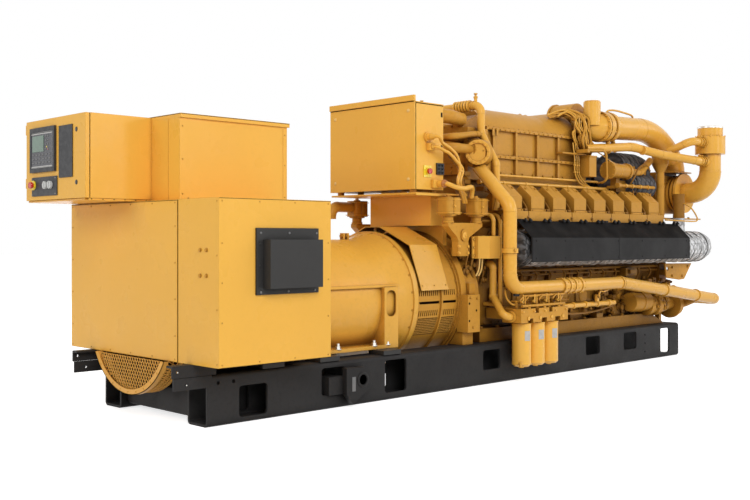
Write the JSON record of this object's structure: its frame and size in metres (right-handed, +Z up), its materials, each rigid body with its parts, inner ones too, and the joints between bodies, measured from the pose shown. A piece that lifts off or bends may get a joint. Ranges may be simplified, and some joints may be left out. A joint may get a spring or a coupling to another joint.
{
  "type": "diesel generator set",
  "caption": "Skid-mounted diesel generator set: V engine, coupled generator, control cabinet with hinged door, and stop buttons.",
  "frame": {"origin": "floor level, midway between the rails and midway along them", "axes": "+X along the shaft from the generator to the engine, -Y the right side seen from the generator end, +Z up"},
  "size_m": [6.31, 1.81, 2.2819],
  "materials": {
    "yellow_paint": "satin",
    "black_paint": "satin",
    "grey_paint": "satin",
    "black_sheet": "satin",
    "insulation": "woven",
    "black_plastic": "matt",
    "white_plastic": "gloss",
    "red_plastic": "gloss"
  },
  "bodies": {
    "skid": {"base_rail_right": "black_paint", "base_rail_left": "black_paint", "base_crossmembers": "black_paint", "lifting_bar": "black_paint", "rear_brackets": "black_paint", "mounting_pads": "grey_paint", "generator_frame": "yellow_paint", "generator_enclosure": "yellow_paint", "generator_end_panel": "yellow_paint", "fan_screen": "yellow_paint", "air_ducts": "grey_paint", "terminal_box": "yellow_paint", "terminal_box_lid": "yellow_paint", "control_cabinet": "yellow_paint", "coupling_drum": "yellow_paint", "drive_coupling": "black_paint", "coupling_guard": "yellow_paint", "flywheel_housing": "yellow_paint", "junction_box": "yellow_paint", "junction_box_cover": "yellow_paint", "junction_box_stand": "yellow_paint", "engine_block": "yellow_paint", "oil_pan": "yellow_paint", "engine_mounts": "yellow_paint", "cylinder_heads": "yellow_paint", "rocker_covers": "yellow_paint", "intake_plenum": "yellow_paint", "plenum_cover": "yellow_paint", "charge_air_pipe": "yellow_paint", "bypass_valve": "yellow_paint", "turbochargers": "black_sheet", "turbo_support": "yellow_paint", "exhaust_manifolds": "insulation", "heat_shields": "black_sheet", "regulator_housing": "yellow_paint", "vent_pipe": "yellow_paint", "coolant_pipes": "yellow_paint", "coolant_hoses": "yellow_paint", "breathers": "yellow_paint", "control_module": "yellow_paint", "filter_base": "yellow_paint", "fuel_filters": "yellow_paint", "fuel_pipes": "yellow_paint", "front_housing": "yellow_paint", "vibration_damper": "black_paint", "coolant_pumps": "yellow_paint", "coolant_outlet": "yellow_paint", "outlet_housing": "yellow_paint"},
    "door": {"control_door": "yellow_paint", "control_panel": "black_plastic", "control_switches": "white_plastic"},
    "door_stop": {"door_stop_button": "red_plastic"},
    "box_stop": {"box_stop_button": "red_plastic"}
  },
  "joints": [
    {"name": "control_door_hinge", "type": "hinge", "parent": "skid", "child": "door", "pos_m": [-3.034, 0.816, 1.313], "axis": [0, 0, -1], "range_deg": [0, 110]},
    {"name": "door_stop_press", "type": "slide", "parent": "door", "child": "door_stop", "axis": [1, 0, 0], "range_m": [0, 0.005], "stiffness_N_per_m": 800},
    {"name": "box_stop_press", "type": "slide", "parent": "skid", "child": "box_stop", "axis": [0, 1, 0], "range_m": [0, 0.005], "stiffness_N_per_m": 800}
  ]
}
